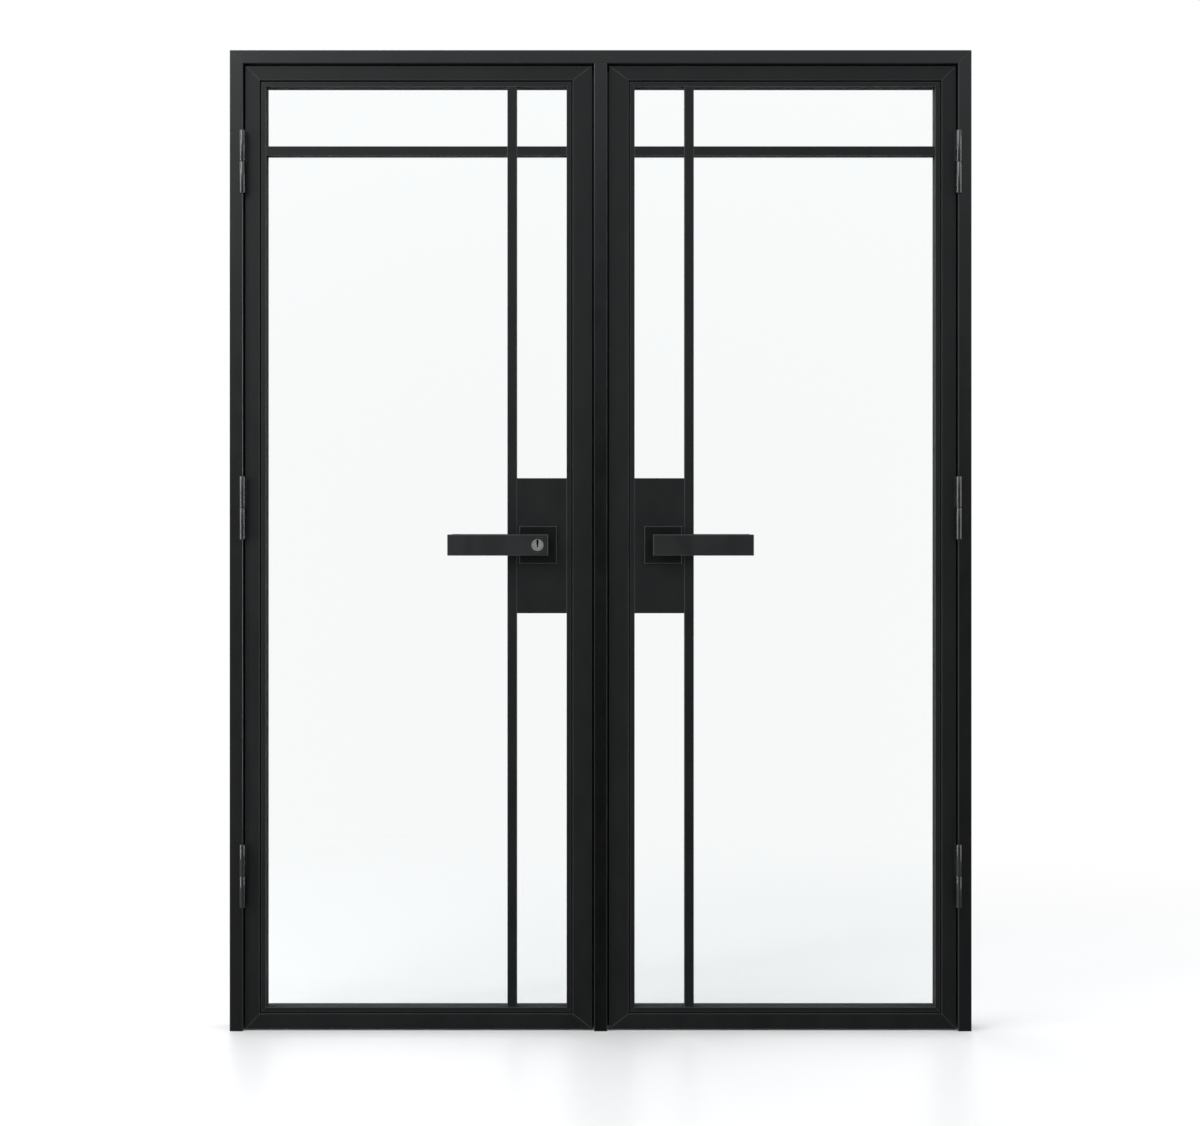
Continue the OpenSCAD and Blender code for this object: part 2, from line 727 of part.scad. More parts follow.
// The bolt is drawn back, flush with the faceplate. Its tail has an upright slot for the cam's peg.
module lock_bolt(side) {
    x = [meet_x + slack, bolt_end_x];
    slot_half = crank_peg_r + 2 * slack;
    color(steel) handed(side) difference() {
        union() {
            block(x, about(bolt_y, bolt_t / 2), about(handle_h, bolt_h / 2));
            block(tail_x, about(bolt_y, tail_t / 2), [handle_h + tail_low, handle_h + tail_high]);
            block([bolt_end_x - 18, tail_x[1]], about(bolt_y, tail_t / 2),
                [handle_h + tail_low, handle_h + bolt_h / 2]);
        }
        block(about(spindle_x, slot_half), about(bolt_y, tail_t),
            [handle_h + tail_low - over, handle_h + crank_r + crank_peg_r + 2 * slack]);
    }
}

// Square spindle with the cam that slides the bolt
module spindle(side) {
    half = spindle_side / 2;
    cam_y = [bolt_y - tail_t / 2 - slack - crank_t, bolt_y - tail_t / 2 - slack];
    color(steel) handed(side) {
        block(about(spindle_x, half), [rose_y - neck_in - spindle_in, rose_back_y + neck_in + spindle_in],
            about(handle_h, half));
        rod_y([spindle_x, handle_h], hub_r - 1, cam_y);
        block(about(spindle_x, crank_peg_r), cam_y, [handle_h, handle_h + crank_r]);
        rod_y([spindle_x, handle_h + crank_r], crank_peg_r, [cam_y[0], bolt_y + tail_t / 2]);
    }
}

// A flat square rose with eased front edges, hollow for the lever's neck
module rose(y, face) {
    h = rose_size / 2;
    x = about(spindle_x, h);
    z = about(handle_h, h);
    r = face < 0 ? [rose_edge, 0, 0, rose_edge] : [0, rose_edge, rose_edge, 0];
    difference() {
        intersection() {
            along_x(soft(rect(y[0], y[1], z[0], z[1]), r), x);
            along_z(turned(soft(rect(y[0], y[1], x[0], x[1]), r)), z);
        }
        rod_y([spindle_x, handle_h], neck_r + slack, [y[0] - over, y[1] + over]);
    }
}
module roses(side) {
    color(paint) handed(side) {
        rose([rose_y, bead_y], -1);
        rose([bar_back_y, rose_back_y], 1);
    }
}

module lever(y, neck_y) {
    x = [spindle_x - lever_heel, spindle_x - lever_heel + lever_l];
    z = about(handle_h, lever_h / 2);
    r = lever_edge_r;
    half = spindle_side / 2 + pin_slack;
    difference() {
        union() {
            intersection() {
                along_x(all_soft(rect(y[0], y[1], z[0], z[1]), r), x);
                along_y(all_soft(rect(x[0], x[1], z[0], z[1]), r), [y[0] - over, y[1] + over]);
                along_z(all_soft(rect(x[0], x[1], y[0], y[1]), r), z);
            }
            rod_y([spindle_x, handle_h], neck_r, neck_y);
        }
        block(about(spindle_x, half),
            [rose_y - neck_in - spindle_in - slack, rose_back_y + neck_in + spindle_in + slack],
            about(handle_h, half));
    }
}
module front_lever(side, keyed) {
    bore_y = lever_y + cylinder_l;
    color(paint) handed(side) difference() {
        lever([lever_y, lever_y + lever_t], [lever_y + lever_t / 2, rose_y + neck_in]);
        if (keyed) {
            rod_y([spindle_x, handle_h], ring_r, [lever_y - over, lever_y + ring_depth]);
            rod_y([spindle_x, handle_h], cylinder_r + pin_slack, [lever_y - over, bore_y + slack]);
        }
    }
}
module back_lever(side) {
    color(paint) handed(side)
        lever([lever_tip_y - lever_t, lever_tip_y], [rose_back_y - neck_in, lever_tip_y - lever_t / 2]);
}

module key_cylinder() {
    color(steel) handed("left") difference() {
        rod_y([spindle_x, handle_h], cylinder_r, [lever_y, lever_y + cylinder_l]);
        rod_y([spindle_x, handle_h], plug_r + pin_slack,
            [lever_y - over, lever_y + cylinder_l - cylinder_floor]);
    }
}
module key_plug() {
    y = [lever_y + slack, lever_y + cylinder_l - cylinder_floor - pin_slack];
    cut = [y[0] - over, y[1] - keyway_end];
    color(steel) handed("left") difference() {
        rod_y([spindle_x, handle_h], plug_r, y);
        // half width, foot and top of each step of the keyway
        for (step = [[1.7, 2.4, plug_r - 0.8], [0.6, -4, 3], [1.5, -4.4, 0.8]])
            block([spindle_x - step[0], spindle_x + step[0]], cut, [handle_h + step[1], handle_h + step[2]]);
    }
}

// ---------- what is drawn ----------

jamb("left");  // left_jamb
jamb("right");  // right_jamb
head();
centre_mullion();
door_stops();
stop_seals();
mullion_floor_bracket();
strike_plates();
frame_screws();
hinge_washers();
hinge_frame_halves("left");  // left_hinge_frame_halves
hinge_frame_halves("right");  // right_hinge_frame_halves
hinge_leaf_halves("left");  // left_hinge_leaf_halves
hinge_leaf_halves("right");  // right_hinge_leaf_halves

hinge_stile("left");  // left_hinge_stile
meeting_stile("left");  // left_meeting_stile
top_rail("left");  // left_top_rail
bottom_rail("left");  // left_bottom_rail
vertical_bar("left");  // left_vertical_bar
horizontal_bars("left");  // left_horizontal_bars
glazing_beads("left");  // left_glazing_beads
glazing_gaskets("left");  // left_glazing_gaskets
pane("left", top_wide);  // left_top_wide_pane
pane("left", top_narrow);  // left_top_narrow_pane
pane("left", main_pane);  // left_main_pane
pane("left", upper_narrow);  // left_upper_narrow_pane
pane("left", lower_narrow);  // left_lower_narrow_pane
lock_panel("left");  // left_lock_panel
lock_case("left");  // left_lock_case
faceplate("left");  // left_faceplate
leaf_screws("left");  // left_leaf_screws
roses("left");  // left_roses
lock_bolt("left");  // left_lock_bolt
spindle("left");  // left_spindle
front_lever("left", true);  // left_front_lever
back_lever("left");  // left_back_lever

hinge_stile("right");  // right_hinge_stile
meeting_stile("right");  // right_meeting_stile
top_rail("right");  // right_top_rail
bottom_rail("right");  // right_bottom_rail
vertical_bar("right");  // right_vertical_bar
horizontal_bars("right");  // right_horizontal_bars
glazing_beads("right");  // right_glazing_beads
glazing_gaskets("right");  // right_glazing_gaskets
pane("right", top_wide);  // right_top_wide_pane
pane("right", top_narrow);  // right_top_narrow_pane
pane("right", main_pane);  // right_main_pane
pane("right", upper_narrow);  // right_upper_narrow_pane
pane("right", lower_narrow);  // right_lower_narrow_pane
lock_panel("right");  // right_lock_panel
lock_case("right");  // right_lock_case
faceplate("right");  // right_faceplate
leaf_screws("right");  // right_leaf_screws
roses("right");  // right_roses
lock_bolt("right");  // right_lock_bolt
spindle("right");  // right_spindle
front_lever("right", false);  // right_front_lever
back_lever("right");  // right_back_lever
key_cylinder();
key_plug();
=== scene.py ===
import json
import math

import bmesh
import bpy
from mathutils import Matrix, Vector

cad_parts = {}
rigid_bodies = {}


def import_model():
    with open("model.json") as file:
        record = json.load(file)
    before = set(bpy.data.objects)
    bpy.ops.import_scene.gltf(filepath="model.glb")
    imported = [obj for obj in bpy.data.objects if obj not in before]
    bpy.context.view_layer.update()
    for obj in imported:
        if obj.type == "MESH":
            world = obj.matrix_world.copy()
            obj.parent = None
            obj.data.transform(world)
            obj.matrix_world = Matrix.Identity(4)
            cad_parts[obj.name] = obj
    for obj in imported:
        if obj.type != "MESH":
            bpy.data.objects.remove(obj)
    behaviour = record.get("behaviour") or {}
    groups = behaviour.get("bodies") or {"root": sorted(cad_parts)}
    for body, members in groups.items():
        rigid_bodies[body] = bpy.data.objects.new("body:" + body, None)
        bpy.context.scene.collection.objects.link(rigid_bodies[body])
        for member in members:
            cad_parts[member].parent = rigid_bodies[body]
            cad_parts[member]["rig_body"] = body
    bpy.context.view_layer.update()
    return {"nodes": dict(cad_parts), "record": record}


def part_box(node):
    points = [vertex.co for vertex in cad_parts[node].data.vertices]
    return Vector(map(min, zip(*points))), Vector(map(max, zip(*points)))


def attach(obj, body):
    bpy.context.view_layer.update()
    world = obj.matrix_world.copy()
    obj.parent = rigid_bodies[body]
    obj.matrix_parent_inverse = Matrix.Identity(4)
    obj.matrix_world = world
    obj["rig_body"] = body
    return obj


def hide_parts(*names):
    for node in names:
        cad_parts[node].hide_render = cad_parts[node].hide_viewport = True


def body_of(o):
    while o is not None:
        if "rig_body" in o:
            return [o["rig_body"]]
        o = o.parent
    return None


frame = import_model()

MM = 0.001
SIDES = ("left", "right")
COAT_EDGE = 2.0 * MM        # how far from an edge the coat is painted lighter, for rubbed paint and a painted highlight
HINGE_EDGE = 0.6 * MM       # the same on a hinge
SHARP_FROM = math.radians(50)
SLEEVE_PROUD = 0.06 * MM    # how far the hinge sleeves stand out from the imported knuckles
KEYWAY_SHADE = (            # half width, bottom and top of each painted-shade mark that widens the dark keyway, from the cylinder's axis
    (2.3 * MM, 1.8 * MM, 11.5 * MM),
    (1.5 * MM, -5.0 * MM, 1.8 * MM),
)


# ---------- finishes ----------

class Finish:
    """One material and the helpers that wire its nodes."""

    def __init__(self, name):
        self.material = bpy.data.materials.new(name)
        self.material.use_nodes = True
        self.tree = self.material.node_tree
        self.tree.nodes.clear()
        self.out = self.add("ShaderNodeOutputMaterial")
        self.shader = self.add("ShaderNodeBsdfPrincipled")
        self.join(self.shader, "BSDF", self.out, "Surface")
        self.where = self.add("ShaderNodeTexCoord")

    def add(self, kind, **settings):
        node = self.tree.nodes.new(kind)
        for key, value in settings.items():
            setattr(node, key, value)
        return node

    def join(self, a, out, b, into):
        self.tree.links.new(a.outputs[out], b.inputs[into])

    def set(self, **values):
        """Sets the shader's plain values and returns the finish."""
        for key, value in values.items():
            self.shader.inputs[key.replace("_", " ")].default_value = value
        return self

    def coat(self, mix, into):
        """Joins a (node, output) pair to one of the shader's inputs."""
        self.tree.links.new(mix[0].outputs[mix[1]], self.shader.inputs[into])

    def noise(self, scale, detail=3.0, roughness=0.55, stretch=(1, 1, 1), distortion=0.0):
        """A noise pattern in the object's own coordinates, in features per metre."""
        place = self.add("ShaderNodeMapping")
        place.inputs["Scale"].default_value = stretch
        self.join(self.where, "Object", place, "Vector")
        n = self.add("ShaderNodeTexNoise")
        n.inputs["Scale"].default_value = scale
        n.inputs["Detail"].default_value = detail
        n.inputs["Roughness"].default_value = roughness
        n.inputs["Distortion"].default_value = distortion
        self.join(place, "Vector", n, "Vector")
        return n

    def ramp(self, source, out, stops):
        """Colours or greys along a value: stops are (place, colour)."""
        r = self.add("ShaderNodeValToRGB")
        r.color_ramp.elements[0].position, r.color_ramp.elements[0].color = stops[0][0], grey(stops[0][1])
        r.color_ramp.elements[1].position, r.color_ramp.elements[1].color = stops[-1][0], grey(stops[-1][1])
        for place, colour in stops[1:-1]:
            e = r.color_ramp.elements.new(place)
            e.color = grey(colour)
        self.join(source, out, r, "Fac")
        return r

    def mixed(self, factor, a, b, how="MIX"):
        """Two colours mixed by a (node, output) or a number."""
        m = self.add("ShaderNodeMix", data_type="RGBA", blend_type=how)
        for socket, value in ((m.inputs[0], factor), (m.inputs[6], a), (m.inputs[7], b)):
            if isinstance(value, tuple) and hasattr(value[0], "outputs"):
                self.tree.links.new(value[0].outputs[value[1]], socket)
            elif isinstance(value, (int, float)):
                socket.default_value = value
            else:
                socket.default_value = grey(value)
        return m, 2

    def bumps(self, layers):
        """Stacks bump layers: (node, output, strength, distance in metres)."""
        last = None
        for node, out, strength, depth in layers:
            b = self.add("ShaderNodeBump")
            b.inputs["Strength"].default_value = strength
            b.inputs["Distance"].default_value = depth
            self.join(node, out, b, "Height")
            if last:
                self.join(last, "Normal", b, "Normal")
            last = b
        self.join(last, "Normal", self.shader, "Normal")


def grey(value):
    if isinstance(value, (int, float)):
        return (value, value, value, 1)
    return tuple(value) + (1,) * (4 - len(value))


def powder_coat(name, dark, light, rough, grain, gloss, edge_wear_and_highlight=9.0, recess_shade=None):
    """Satin black powder coat: fine orange-peel grain, faint clouding, and edges painted lighter for rubbed
    paint and as a painted highlight.

    Faces that look sideways, such as the reveals round the glass, are duller, and darker as a painted shade."""
    f = Finish(name)
    clouds = f.noise(7.0, 4.0, 0.6, (1, 1, 0.35))
    fine = f.noise(grain, 2.0, 0.5)
    tone = f.ramp(clouds, "Fac", [(0.32, dark), (0.72, light)])
    speck = f.ramp(fine, "Fac", [(0.62, 0.0), (0.78, 1.0)])
    colour = f.mixed((speck, "Color"), (tone, "Color"), [c * 1.5 for c in light])
    # painted highlight and wear: edges lighter, for rubbed paint and light caught on the edge
    edge = worn_and_highlit_edges(f, COAT_EDGE)
    colour = f.mixed((edge, "Color"), colour, [c * edge_wear_and_highlight for c in light])
    # painted shade: sideways faces, such as the reveals round the glass, darkened
    sideways = facing_sideways(f)
    colour = f.mixed((sideways, "Color"), colour, [c * 0.3 for c in dark])
    # painted shade: the recess round the key cylinder darkened
    if recess_shade:
        colour = f.mixed(recess_shade(f), colour, (0.0004, 0.0004, 0.0004))
    f.coat(colour, "Base Color")
    smears = f.noise(22.0, 5.0, 0.65, (1, 1, 0.5), 0.4)
    shine = f.ramp(smears, "Fac", [(0.3, rough[0]), (0.75, rough[1])])
    shine = f.mixed((sideways, "Color"), (shine, "Color"), (0.85, 0.85, 0.85))
    f.coat(shine, "Roughness")
    f.bumps([(fine, "Fac", 0.16, 0.04 * MM), (f.noise(grain / 5, 2.0), "Fac", 0.10, 0.06 * MM)])
    return f.set(Specular_IOR_Level=gloss).material


def smooth_coat(name, dark, light, rough, gloss):
    """Thin satin black coat on turned steel, with faint rings and fine scuffs."""
    f = Finish(name)
    scuffs = f.noise(260.0, 4.0, 0.6, (1, 1, 0.15))
    tone = f.ramp(scuffs, "Fac", [(0.35, dark), (0.75, light)])
    # painted highlight and wear: hinge edges lighter, for rubbed paint and light caught on the edge
    edge = worn_and_highlit_edges(f, HINGE_EDGE)
    colour = f.mixed((edge, "Color"), (tone, "Color"), [c * 6 for c in light])
    f.coat(colour, "Base Color")
    shine = f.ramp(scuffs, "Fac", [(0.3, rough[0]), (0.7, rough[1])])
    f.join(shine, "Color", f.shader, "Roughness")
    f.bumps([(f.noise(900.0, 2.0, 0.5, (0.2, 0.2, 1)), "Fac", 0.04, 0.01 * MM)])
    return f.set(Specular_IOR_Level=gloss).material


def worn_and_highlit_edges(f, reach):
    """White where an edge turns within reach: paint rubbed thin there, and a painted highlight for light
    caught on the edge.
    """
    turn = f.add("ShaderNodeBevel", samples=4)
    turn.inputs["Radius"].default_value = reach
    shape = f.add("ShaderNodeNewGeometry")
    same = f.add("ShaderNodeVectorMath", operation="DOT_PRODUCT")
    f.join(turn, "Normal", same, 0)
    f.join(shape, "True Normal", same, 1)
    return f.ramp(same, "Value", [(0.92, 0.85), (0.995, 0.0)])


def facing_sideways(f):
    """White on flat faces turned away from the front and the back."""
    shape = f.add("ShaderNodeNewGeometry")
    turned = f.add("ShaderNodeVectorTransform", vector_type="NORMAL",
                   convert_from="WORLD", convert_to="OBJECT")
    f.join(shape, "True Normal", turned, 0)
    split = f.add("ShaderNodeSeparateXYZ")
    f.join(turned, "Vector", split, "Vector")
    front = f.add("ShaderNodeMath", operation="ABSOLUTE")
    f.join(split, "Y", front, 0)
    return f.ramp(front, "Value", [(0.05, 1.0), (0.25, 0.0)])


def brushed_metal(name, dark, light, rough, lines, stretch, depth=0.02 * MM):
    """Bare or plated metal with fine drawn lines along one axis."""
    f = Finish(name)
    drawn = f.noise(lines, 3.0, 0.6, stretch)
    cloud = f.noise(60.0, 4.0, 0.6)
    tone = f.ramp(cloud, "Fac", [(0.3, dark), (0.7, light)])
    streak = f.mixed((drawn, "Fac"), (tone, "Color"), [c * 0.8 for c in light])
    f.coat(streak, "Base Color")
    shine = f.ramp(drawn, "Fac", [(0.3, rough[0]), (0.7, rough[1])])
    f.join(shine, "Color", f.shader, "Roughness")
    f.bumps([(drawn, "Fac", 0.4, depth)])
    return f.set(Metallic=1.0).material


def about_cylinder(f):
    """Place across and up from the key cylinder's axis, and the distance from it."""
    middle = (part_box("key_cylinder")[0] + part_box("key_cylinder")[1]) / 2
    place = f.add("ShaderNodeMapping", vector_type="POINT")
    place.inputs["Location"].default_value = (-middle.x, -middle.y, -middle.z)
    f.join(f.where, "Object", place, "Vector")
    split = f.add("ShaderNodeSeparateXYZ")
    f.join(place, "Vector", split, "Vector")
    square = f.add("ShaderNodeCombineXYZ")
    f.join(split, "X", square, "X")
    f.join(split, "Z", square, "Y")
    far = f.add("ShaderNodeVectorMath", operation="LENGTH")
    f.join(square, "Vector", far, 0)
    return split, far


def cylinder_share(f, far):
    """The distance from the key cylinder's axis as a share of its diameter."""
    share = f.add("ShaderNodeMath", operation="DIVIDE")
    share.inputs[1].default_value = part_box("key_cylinder")[1].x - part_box("key_cylinder")[0].x
    f.join(far, "Value", share, 0)
    return share


def cylinder_recess_shade(f):
    """Marks the recess round the key cylinder, for painted shade there."""
    return f.ramp(cylinder_share(f, about_cylinder(f)[1]), "Value", [(0.58, 1.0), (0.63, 0.0)]), "Color"


def upright_mark(f, split, half, low, high):
    """White within a small upright rectangle across the key cylinder's axis."""
    across = f.add("ShaderNodeMath", operation="ABSOLUTE")
    f.join(split, "X", across, 0)
    inside = f.add("ShaderNodeMath", operation="LESS_THAN")
    inside.inputs[1].default_value = half
    f.join(across, "Value", inside, 0)
    level = f.add("ShaderNodeMath", operation="COMPARE")
    level.inputs[1].default_value, level.inputs[2].default_value = (low + high) / 2, (high - low) / 2
    f.join(split, "Z", level, 0)
    both = f.add("ShaderNodeMath", operation="MULTIPLY")
    f.join(inside, "Value", both, 0)
    f.join(level, "Value", both, 1)
    return both


def turned_metal(name):
    """Satin nickel of the key cylinder: turning rings, a dark joint round the plug, painted shade at the
    keyway and on faces turned sideways.
    """
    ring_waves = 9000.0         # radians per metre out from the axis
    f = Finish(name)
    split, far = about_cylinder(f)
    ring = f.add("ShaderNodeMath", operation="MULTIPLY")
    ring.inputs[1].default_value = ring_waves
    f.join(far, "Value", ring, 0)
    wave = f.add("ShaderNodeMath", operation="SINE")
    f.join(ring, "Value", wave, 0)
    cloud = f.noise(700.0, 3.0)
    tone = f.ramp(cloud, "Fac", [(0.3, (0.36, 0.36, 0.35)), (0.7, (0.48, 0.48, 0.465))])
    share = cylinder_share(f, far)
    lines = f.ramp(share, "Value", [(0.0, 1.0), (0.36, 1.0), (0.385, 0.35), (0.405, 1.0),
                                    (0.46, 1.0), (0.5, 0.45)])
    colour = f.mixed(1.0, (tone, "Color"), (lines, "Color"), "MULTIPLY")
    # painted shade: dark marks that widen the keyway
    for half, low, high in KEYWAY_SHADE:
        colour = f.mixed((upright_mark(f, split, half, low, high), "Value"), colour, (0.012, 0.012, 0.012))
    # painted shade: faces turned sideways, such as the keyway's walls, darkened
    colour = f.mixed((facing_sideways(f), "Color"), colour, (0.006, 0.006, 0.006))
    f.coat(colour, "Base Color")
    shine = f.ramp(cloud, "Fac", [(0.3, 0.34), (0.7, 0.46)])
    f.join(shine, "Color", f.shader, "Roughness")
    f.bumps([(wave, "Value", 0.25, 0.01 * MM)])
    return f.set(Metallic=1.0).material


def soft_rubber(name):
    """Black glazing rubber with a faint bloom."""
    f = Finish(name)
    bloom = f.noise(35.0, 5.0, 0.6, (1, 1, 0.4))
    tone = f.ramp(bloom, "Fac", [(0.35, (0.010, 0.010, 0.010)), (0.8, (0.020, 0.020, 0.021))])
    f.join(tone, "Color", f.shader, "Base Color")
    shine = f.ramp(bloom, "Fac", [(0.3, 0.62), (0.75, 0.82)])
    f.join(shine, "Color", f.shader, "Roughness")
    f.bumps([(f.noise(1400.0, 2.0), "Fac", 0.3, 0.03 * MM)])
    return f.set(Specular_IOR_Level=0.35).material


def clear_pane(name):
    """Float glass: almost colourless, with the faintest waviness and a trace of wiping marks."""
    f = Finish(name)
    f.set(Base_Color=(0.965, 0.985, 0.985, 1), IOR=1.5, Transmission_Weight=1.0)
    wiped = f.noise(3.0, 4.0, 0.6, (1, 1, 0.3), 0.6)
    shine = f.ramp(wiped, "Fac", [(0.35, 0.0), (0.8, 0.035)])
    f.join(shine, "Color", f.shader, "Roughness")
    f.bumps([(f.noise(2.2, 1.0, 0.5, (1, 1, 0.4)), "Fac", 0.02, 0.3 * MM)])
    lamp = f.add("ShaderNodeLightPath")
    open_way = f.add("ShaderNodeBsdfTransparent")
    open_way.inputs["Color"].default_value = (0.93, 0.95, 0.95, 1)
    both = f.add("ShaderNodeMixShader")
    f.join(lamp, "Is Shadow Ray", both, "Fac")
    f.join(f.shader, "BSDF", both, 1)
    f.join(open_way, "BSDF", both, 2)
    f.join(both, "Shader", f.out, "Surface")
    return f.material


# The frame and the leaves share one coat; the frame's copy is glossier and darker, the darker tone partly
# painted shade on the jambs, head and mullion.
FRAME_PAINT = powder_coat("satin_black_frame_coat", (0.0018, 0.0019, 0.0020), (0.0034, 0.0036, 0.0038),
                          (0.17, 0.24), 1100.0, 0.62, 10.0)
LEAF_PAINT = powder_coat("satin_black_leaf_coat", (0.0028, 0.0030, 0.0031), (0.0047, 0.0050, 0.0052),
                         (0.36, 0.48), 1100.0, 0.30, 12.0)
LEVER_PAINT = powder_coat("fine_black_lever_coat", (0.0045, 0.0047, 0.0050), (0.0075, 0.0078, 0.0081),
                          (0.30, 0.42), 1700.0, 0.5, recess_shade=cylinder_recess_shade)
# the roses' edges are painted much lighter: a painted highlight for light rim lines, besides wear
ROSE_PAINT = powder_coat("deep_black_rose_coat", (0.0024, 0.0025, 0.0026), (0.0042, 0.0044, 0.0046),
                         (0.26, 0.34), 1700.0, 0.22, 26.0)
HINGE_PAINT = smooth_coat("hinge_black_coat", (0.004, 0.0042, 0.0044), (0.007, 0.0073, 0.0076),
                          (0.09, 0.13), 0.9)
GLASS = clear_pane("clear_float_glass")
RUBBER = soft_rubber("black_glazing_rubber")
NICKEL = turned_metal("turned_satin_nickel")
ZINC = brushed_metal("zinc_plated_steel", (0.42, 0.42, 0.41), (0.58, 0.58, 0.60), (0.28, 0.42),
                     900.0, (1, 1, 0.1))
WASHER = brushed_metal("oiled_washer_steel", (0.012, 0.0115, 0.011), (0.03, 0.029, 0.028), (0.45, 0.6),
                       1200.0, (1, 1, 1))
BY_SLOT = {
    "frame_paint": FRAME_PAINT, "lever_paint": LEVER_PAINT, "hinge_steel": HINGE_PAINT,
    "clear_glass": GLASS, "black_rubber": RUBBER, "cylinder_metal": NICKEL,
    "zinc_steel": ZINC, "washer_steel": WASHER,
}


def finish_of(name, node, slot):
    """The slot's finish, apart from the leaves' coat and the roses'."""
    if name.endswith("_roses"):
        return ROSE_PAINT
    if slot == "frame_paint" and "frame" not in body_of(node):
        return LEAF_PAINT
    return BY_SLOT[slot]


def finish_frame_nodes():
    """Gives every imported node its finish."""
    slot_of = {p["node"]: p["material_slot"] for p in frame["record"]["subparts"]}
    for name, node in frame["nodes"].items():
        finish = finish_of(name, node, slot_of[name])
        if not node.material_slots:
            node.data.materials.append(finish)
        for place in node.material_slots:
            place.material = finish


finish_frame_nodes()


# ---------- repeated pieces ----------

class Recipe:
    """A Geometry Nodes tree with named sizes, which is run once and leaves a plain mesh."""

    def __init__(self, name, **sizes):
        self.tree = bpy.data.node_groups.new(name, "GeometryNodeTree")
        face = self.tree.interface
        face.new_socket("Places", in_out="INPUT", socket_type="NodeSocketGeometry")
        for key, value in sizes.items():
            kind = "NodeSocketInt" if isinstance(value, int) else "NodeSocketFloat"
            face.new_socket(key, in_out="INPUT", socket_type=kind).default_value = value
        face.new_socket("Pieces", in_out="OUTPUT", socket_type="NodeSocketGeometry")
        self.given = self.tree.nodes.new("NodeGroupInput")
        self.result = self.tree.nodes.new("NodeGroupOutput")

    def add(self, kind, links=None, **settings):
        """A node with its settings, and its inputs joined to sizes, nodes or constants."""
        node = self.tree.nodes.new(kind)
        for key, value in settings.items():
            setattr(node, key, value)
        for key, value in (links or {}).items():
            socket = node.inputs[key]
            if isinstance(value, str):
                self.tree.links.new(self.given.outputs[value], socket)
            elif hasattr(value, "outputs"):
                self.tree.links.new(value.outputs[0], socket)
            else:
                socket.default_value = value
        return node

    def sum(self, how, a, b):
        return self.add("ShaderNodeMath", {0: a, 1: b}, operation=how)

    def upward(self, height):
        """A vector of that height along Z."""
        return self.add("ShaderNodeCombineXYZ", {"Z": height})

    def finish(self, shape, material, turned=None):
        """Puts one shape on every place, as real geometry with its material."""
        spread = self.add("GeometryNodeInstanceOnPoints", {"Points": "Places", "Instance": shape})
        if turned:
            self.tree.links.new(turned.outputs[0], spread.inputs["Rotation"])
        real = self.add("GeometryNodeRealizeInstances", {"Geometry": spread})
        bend = self.add("GeometryNodeInputMeshEdgeAngle")
        sharp = self.add("FunctionNodeCompare", {0: bend, 1: SHARP_FROM}, operation="LESS_THAN")
        smooth = self.add("GeometryNodeSetShadeSmooth", {0: real, "Shade Smooth": True})
        split = self.add("GeometryNodeSetShadeSmooth", {0: smooth, "Shade Smooth": sharp}, domain="EDGE")
        painted = self.add("GeometryNodeSetMaterial", {"Geometry": split, "Material": material})
        self.tree.links.new(painted.outputs[0], self.result.inputs[0])

    def run(self, name, places, directions=None, **sizes):
        """Makes the pieces at these places and returns them as one plain object."""
        cloud = bpy.data.meshes.new(name + "_places")
        cloud.from_pydata([tuple(p) for p in places], [], [])
        if directions:
            way = cloud.attributes.new("way", "FLOAT_VECTOR", "POINT")
            for item, value in zip(way.data, directions):
                item.vector = value
        holder = bpy.data.objects.new(name + "_places", cloud)
        bpy.context.scene.collection.objects.link(holder)
        made = holder.modifiers.new("recipe", "NODES")
        made.node_group = self.tree
        for item in self.tree.interface.items_tree:
            if item.in_out == "INPUT" and item.name in sizes:
                made[item.identifier] = sizes[item.name]
        view = bpy.context.evaluated_depsgraph_get()
        mesh = bpy.data.meshes.new_from_object(holder.evaluated_get(view), depsgraph=view)
        holder.modifiers.remove(made)
        bpy.data.objects.remove(holder)
        mesh.name = name
        piece = bpy.data.objects.new(name, mesh)
        bpy.context.scene.collection.objects.link(piece)
        return piece


def solids(name):
    """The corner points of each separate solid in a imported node."""
    work = bmesh.new()
    work.from_mesh(frame["nodes"][name].data)
    bmesh.ops.remove_doubles(work, verts=work.verts, dist=1e-6)
    left, found = set(work.verts), []
    while left:
        todo, solid = [left.pop()], []
        while todo:
            corner = todo.pop()
            solid.append(corner.co.copy())
            for edge in corner.link_edges:
                other = edge.other_vert(corner)
                if other in left:
                    left.discard(other)
                    todo.append(other)
        found.append(solid)
    work.free()
    return found


def span(points, axis):
    """The lowest and highest value of the points along an axis."""
    values = [p[axis] for p in points]
    return min(values), max(values)


